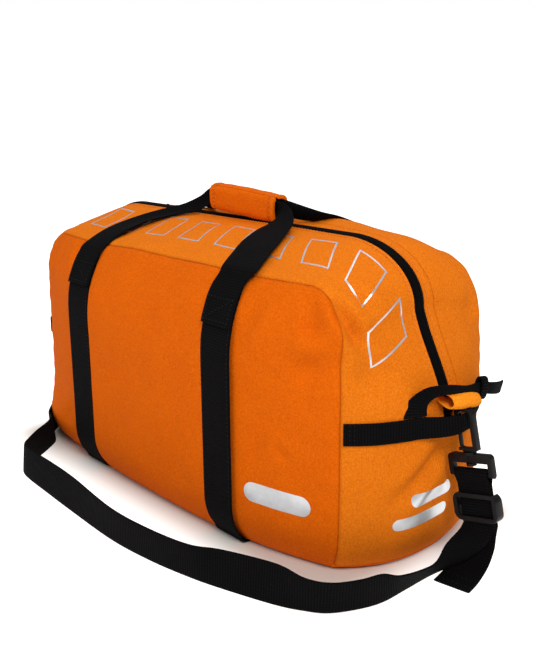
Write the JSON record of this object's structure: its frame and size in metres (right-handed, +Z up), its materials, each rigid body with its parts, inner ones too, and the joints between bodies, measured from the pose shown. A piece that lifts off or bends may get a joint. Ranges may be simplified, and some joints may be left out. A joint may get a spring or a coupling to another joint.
{
  "type": "sports holdall bag",
  "caption": "Soft orange holdall with a domed two-way zip top, webbing body straps, joined carry handles with a wrap-round grip, end grab straps and a clip-on shoulder strap.",
  "frame": {"origin": "on the floor under the middle of the bag", "axes": "+X towards the right end, the front panel faces -Y, +Z up"},
  "size_m": [0.6503, 0.3204, 0.3025],
  "materials": {
    "coated_fabric": "satin woven polyester with a coated back",
    "webbing": "ribbed woven webbing",
    "zip_tape": "herringbone zip tape",
    "zip_coil": "moulded coil",
    "zip_metal": "black enamel over die-cast zinc",
    "hook_plastic": "fine-grained acetal"
  },
  "bodies": {
    "bag": {"front_panel": "coated_fabric", "back_panel": "coated_fabric", "base_panel": "coated_fabric", "front_gusset": "coated_fabric", "rear_gusset": "coated_fabric", "right_end_panel": "coated_fabric", "left_end_panel": "coated_fabric", "front_zip_tape": "zip_tape", "rear_zip_tape": "zip_tape", "front_zip_coil": "zip_coil", "rear_zip_coil": "zip_coil", "right_body_strap": "webbing", "left_body_strap": "webbing", "front_right_lap": "webbing", "front_left_lap": "webbing", "rear_right_lap": "webbing", "rear_left_lap": "webbing", "right_end_band": "webbing", "left_end_band": "webbing", "right_grab_strap": "webbing", "left_grab_strap": "webbing", "right_grab_tail": "webbing", "left_grab_tail": "webbing", "right_zip_tab": "coated_fabric", "left_zip_tab": "coated_fabric", "right_hook": "hook_plastic", "left_hook": "hook_plastic", "shoulder_strap": "webbing", "strap_tail": "webbing"},
    "front_handle": {"front_handle": "webbing"},
    "rear_handle": {"rear_handle": "webbing", "grip_wrap": "coated_fabric"},
    "grip_flap": {"grip_flap": "coated_fabric"},
    "right_slider": {"right_zip_slider": "zip_metal"},
    "left_slider": {"left_zip_slider": "zip_metal"},
    "right_pull": {"right_zip_pull": "zip_metal"},
    "left_pull": {"left_zip_pull": "zip_metal"},
    "right_gate": {"right_hook_gate": "hook_plastic"},
    "left_gate": {"left_hook_gate": "hook_plastic"},
    "right_swivel": {"right_swivel": "hook_plastic", "right_strap_loop": "webbing"},
    "left_swivel": {"left_swivel": "hook_plastic", "left_strap_loop": "webbing"},
    "adjuster": {"right_adjuster": "hook_plastic"}
  },
  "joints": [
    {"name": "front_handle_fall", "type": "hinge", "parent": "bag", "child": "front_handle", "pos_m": [0, -0.11229, 0.233], "axis": [1, 0, 0], "range_deg": [0, 180], "deforming": ["grip_wrap", "grip_flap"]},
    {"name": "rear_handle_fall", "type": "hinge", "parent": "bag", "child": "rear_handle", "pos_m": [0, 0.11229, 0.233], "axis": [-1, 0, 0], "range_deg": [0, 180], "deforming": ["grip_wrap", "grip_flap"]},
    {"name": "grip_flap_open", "type": "hinge", "parent": "rear_handle", "child": "grip_flap", "pos_m": [0.018, -0.006, 0.3015], "axis": [-1, 0, 0], "range_deg": [0, 110]},
    {"name": "right_zip_slide", "type": "slide", "parent": "bag", "child": "right_slider", "axis": [1, 0, 0], "range_m": [0, 0.25]},
    {"name": "left_zip_slide", "type": "slide", "parent": "bag", "child": "left_slider", "axis": [-1, 0, 0], "range_m": [0, 0.034]},
    {"name": "right_pull_lift", "type": "hinge", "parent": "right_slider", "child": "right_pull", "pos_m": [-0.1015, 0, 0.2732], "axis": [0, -1, 0], "range_deg": [0, 165]},
    {"name": "left_pull_lift", "type": "hinge", "parent": "left_slider", "child": "left_pull", "pos_m": [-0.1185, 0, 0.2732], "axis": [0, 1, 0], "range_deg": [0, 165]},
    {"name": "right_gate_press", "type": "hinge", "parent": "bag", "child": "right_gate", "pos_m": [0.28714, 0, 0.11293], "axis": [0, 1, 0], "range_deg": [0, 14], "stiffness_Nm_per_rad": 0.02},
    {"name": "left_gate_press", "type": "hinge", "parent": "bag", "child": "left_gate", "pos_m": [-0.28714, 0, 0.11293], "axis": [0, -1, 0], "range_deg": [0, 14], "stiffness_Nm_per_rad": 0.02},
    {"name": "right_hook_swivel", "type": "hinge", "parent": "bag", "child": "right_swivel", "pos_m": [0.29, 0, 0.131], "axis": [0.2334, 0, -0.9724], "range_deg": [-40, 40]},
    {"name": "left_hook_swivel", "type": "hinge", "parent": "bag", "child": "left_swivel", "pos_m": [-0.29, 0, 0.131], "axis": [-0.2334, 0, -0.9724], "range_deg": [-40, 40]},
    {"name": "adjuster_slide", "type": "slide", "parent": "right_swivel", "child": "adjuster", "axis": [-0.2334, 0, 0.9724], "range_m": [-0.0025, 0.0065]}
  ]
}
